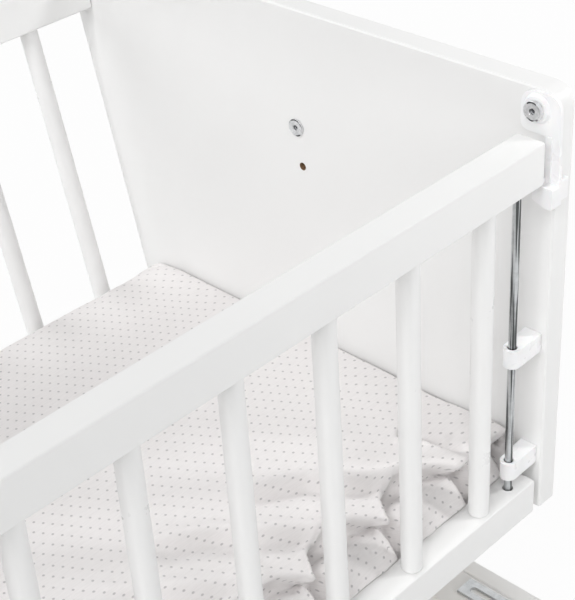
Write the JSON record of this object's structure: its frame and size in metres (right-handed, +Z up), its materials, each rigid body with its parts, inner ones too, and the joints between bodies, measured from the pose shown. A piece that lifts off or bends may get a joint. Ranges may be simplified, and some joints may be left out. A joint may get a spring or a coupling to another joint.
{
  "type": "bedside crib",
  "caption": "Bedside crib with solid end panels, a leaning barred back, a barred gate that slides down on rods, and legs whose feet reach under a bed.",
  "frame": {"origin": "on the floor, under the centre of the part's whole box", "axes": "+X along the crib, +Y from the gate to the leaning back, +Z up"},
  "size_m": [1.0782, 0.7274, 0.6033],
  "materials": {
    "white_paint": "white satin lacquer on board and beech",
    "white_plastic": "white moulded plastic, low gloss",
    "zinc_steel": "zinc-plated steel",
    "bolt_steel": "plated steel, flat turned head",
    "sheet_cotton": "white cotton sheet with small grey dots",
    "raw_board": "bare board",
    "grey_felt": "grey felt"
  },
  "bodies": {
    "crib": {"end_panel_right": "white_paint", "panel_bolt_right": "bolt_steel", "leg_post_right": "white_paint", "leg_cheek_right": "white_paint", "foot_beam_right": "white_paint", "plate_bolt_right": "bolt_steel", "foot_glide_front_right": "grey_felt", "foot_glide_back_right": "grey_felt", "rod_bracket_upper_right": "white_plastic", "rod_bracket_lower_right": "white_plastic", "catch_bolt_right": "bolt_steel", "end_panel_left": "white_paint", "panel_bolt_left": "bolt_steel", "leg_post_left": "white_paint", "leg_cheek_left": "white_paint", "foot_beam_left": "white_paint", "plate_bolt_left": "bolt_steel", "foot_glide_front_left": "grey_felt", "foot_glide_back_left": "grey_felt", "rod_bracket_upper_left": "white_plastic", "rod_bracket_lower_left": "white_plastic", "catch_bolt_left": "bolt_steel", "back_rail_top": "white_paint", "back_rail_bottom": "white_paint", "back_bar_01": "white_paint", "back_bar_02": "white_paint", "back_bar_03": "white_paint", "back_bar_04": "white_paint", "back_bar_05": "white_paint", "back_bar_06": "white_paint", "back_bar_07": "white_paint", "back_bar_08": "white_paint", "back_bar_09": "white_paint", "back_bar_10": "white_paint", "back_bar_11": "white_paint", "base_stretcher_front": "white_paint", "base_stretcher_back": "white_paint", "base_board": "raw_board", "mattress": "sheet_cotton"},
    "gate": {"gate_rail_top": "white_paint", "gate_rail_bottom": "white_paint", "gate_bar_01": "white_paint", "gate_bar_02": "white_paint", "gate_bar_03": "white_paint", "gate_bar_04": "white_paint", "gate_bar_05": "white_paint", "gate_bar_06": "white_paint", "gate_bar_07": "white_paint", "gate_bar_08": "white_paint", "gate_bar_09": "white_paint", "gate_bar_10": "white_paint", "gate_bar_11": "white_paint", "gate_rod_right": "zinc_steel", "gate_stud_right": "zinc_steel", "gate_rod_left": "zinc_steel", "gate_stud_left": "zinc_steel"},
    "catch_right": {"catch_right": "white_plastic"},
    "catch_left": {"catch_left": "white_plastic"},
    "plate_right": {"foot_plate_right": "zinc_steel"},
    "plate_left": {"foot_plate_left": "zinc_steel"}
  },
  "joints": [
    {"name": "gate_slide", "type": "slide", "parent": "crib", "child": "gate", "axis": [0, 0, -1], "range_m": [0, 0.13]},
    {"name": "catch_swing_right", "type": "hinge", "parent": "crib", "child": "catch_right", "pos_m": [0.4535, -0.14916, 0.5896], "axis": [-1, 0, 0], "range_deg": [0, 25]},
    {"name": "catch_swing_left", "type": "hinge", "parent": "crib", "child": "catch_left", "pos_m": [-0.4535, -0.14916, 0.5896], "axis": [-1, 0, 0], "range_deg": [0, 25]},
    {"name": "plate_slide_right", "type": "slide", "parent": "crib", "child": "plate_right", "axis": [0, -1, 0], "range_m": [-0.034, 0.079]},
    {"name": "plate_slide_left", "type": "slide", "parent": "crib", "child": "plate_left", "axis": [0, -1, 0], "range_m": [-0.034, 0.079]}
  ]
}
